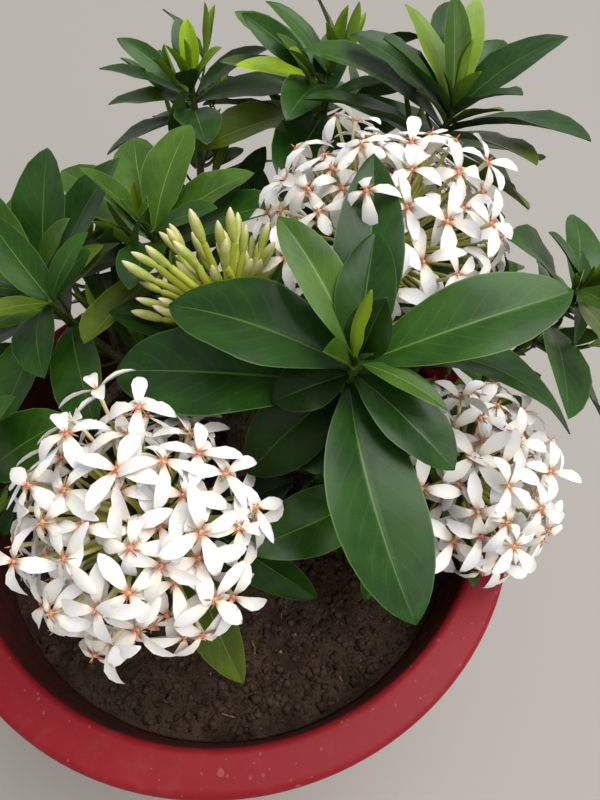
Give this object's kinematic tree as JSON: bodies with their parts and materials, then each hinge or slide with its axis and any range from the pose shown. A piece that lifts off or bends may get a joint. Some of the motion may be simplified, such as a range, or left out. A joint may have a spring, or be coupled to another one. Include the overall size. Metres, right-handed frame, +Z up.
{
  "type": "potted ixora",
  "caption": "Potted flowering shrub: round heads of white star flowers, a cluster of buds and glossy paired leaves on woody boughs, in a tapering round pot of soil.",
  "frame": {"origin": "middle of the pot's flat underside, which the plant stands on", "axes": "+Z up; -Y towards the front, where the picture was taken from; +X to the right of the front view"},
  "size_m": [0.3578, 0.3475, 0.3651],
  "materials": {
    "pot_plastic": "satin moulded plastic with dried splashes",
    "soil": "coarse moist potting soil",
    "bark": "fissured bark",
    "leaf": "glossy leaf",
    "flower": "soft petal",
    "bud": "waxy bud"
  },
  "bodies": {
    "root": {"pot": "pot_plastic", "soil": "soil", "trunk": "bark", "bough_centre": "bark", "bough_front": "bark", "bough_buds": "bark", "bough_right": "bark", "bough_back_right": "bark", "bough_back": "bark", "bough_left": "bark", "bough_far_back": "bark", "bough_rear": "bark", "bough_rear_left": "bark", "bough_far_right": "bark", "bough_low_front": "bark", "bough_low_left": "bark", "bough_rear_right": "bark", "bough_back_left": "bark", "bough_low_right": "bark", "foliage_centre": "leaf", "foliage_front": "leaf", "foliage_buds": "leaf", "foliage_right": "leaf", "foliage_back_right": "leaf", "foliage_back": "leaf", "foliage_left": "leaf", "foliage_far_back": "leaf", "foliage_rear": "leaf", "foliage_rear_left": "leaf", "foliage_far_right": "leaf", "foliage_low_front": "leaf", "foliage_low_left": "leaf", "foliage_rear_right": "leaf", "foliage_back_left": "leaf", "foliage_low_right": "leaf", "flower_head_front": "flower", "flower_head_right": "flower", "flower_head_back_right": "flower", "flower_head_rear_right": "flower", "bud_head_buds": "bud"}
  },
  "joints": []
}
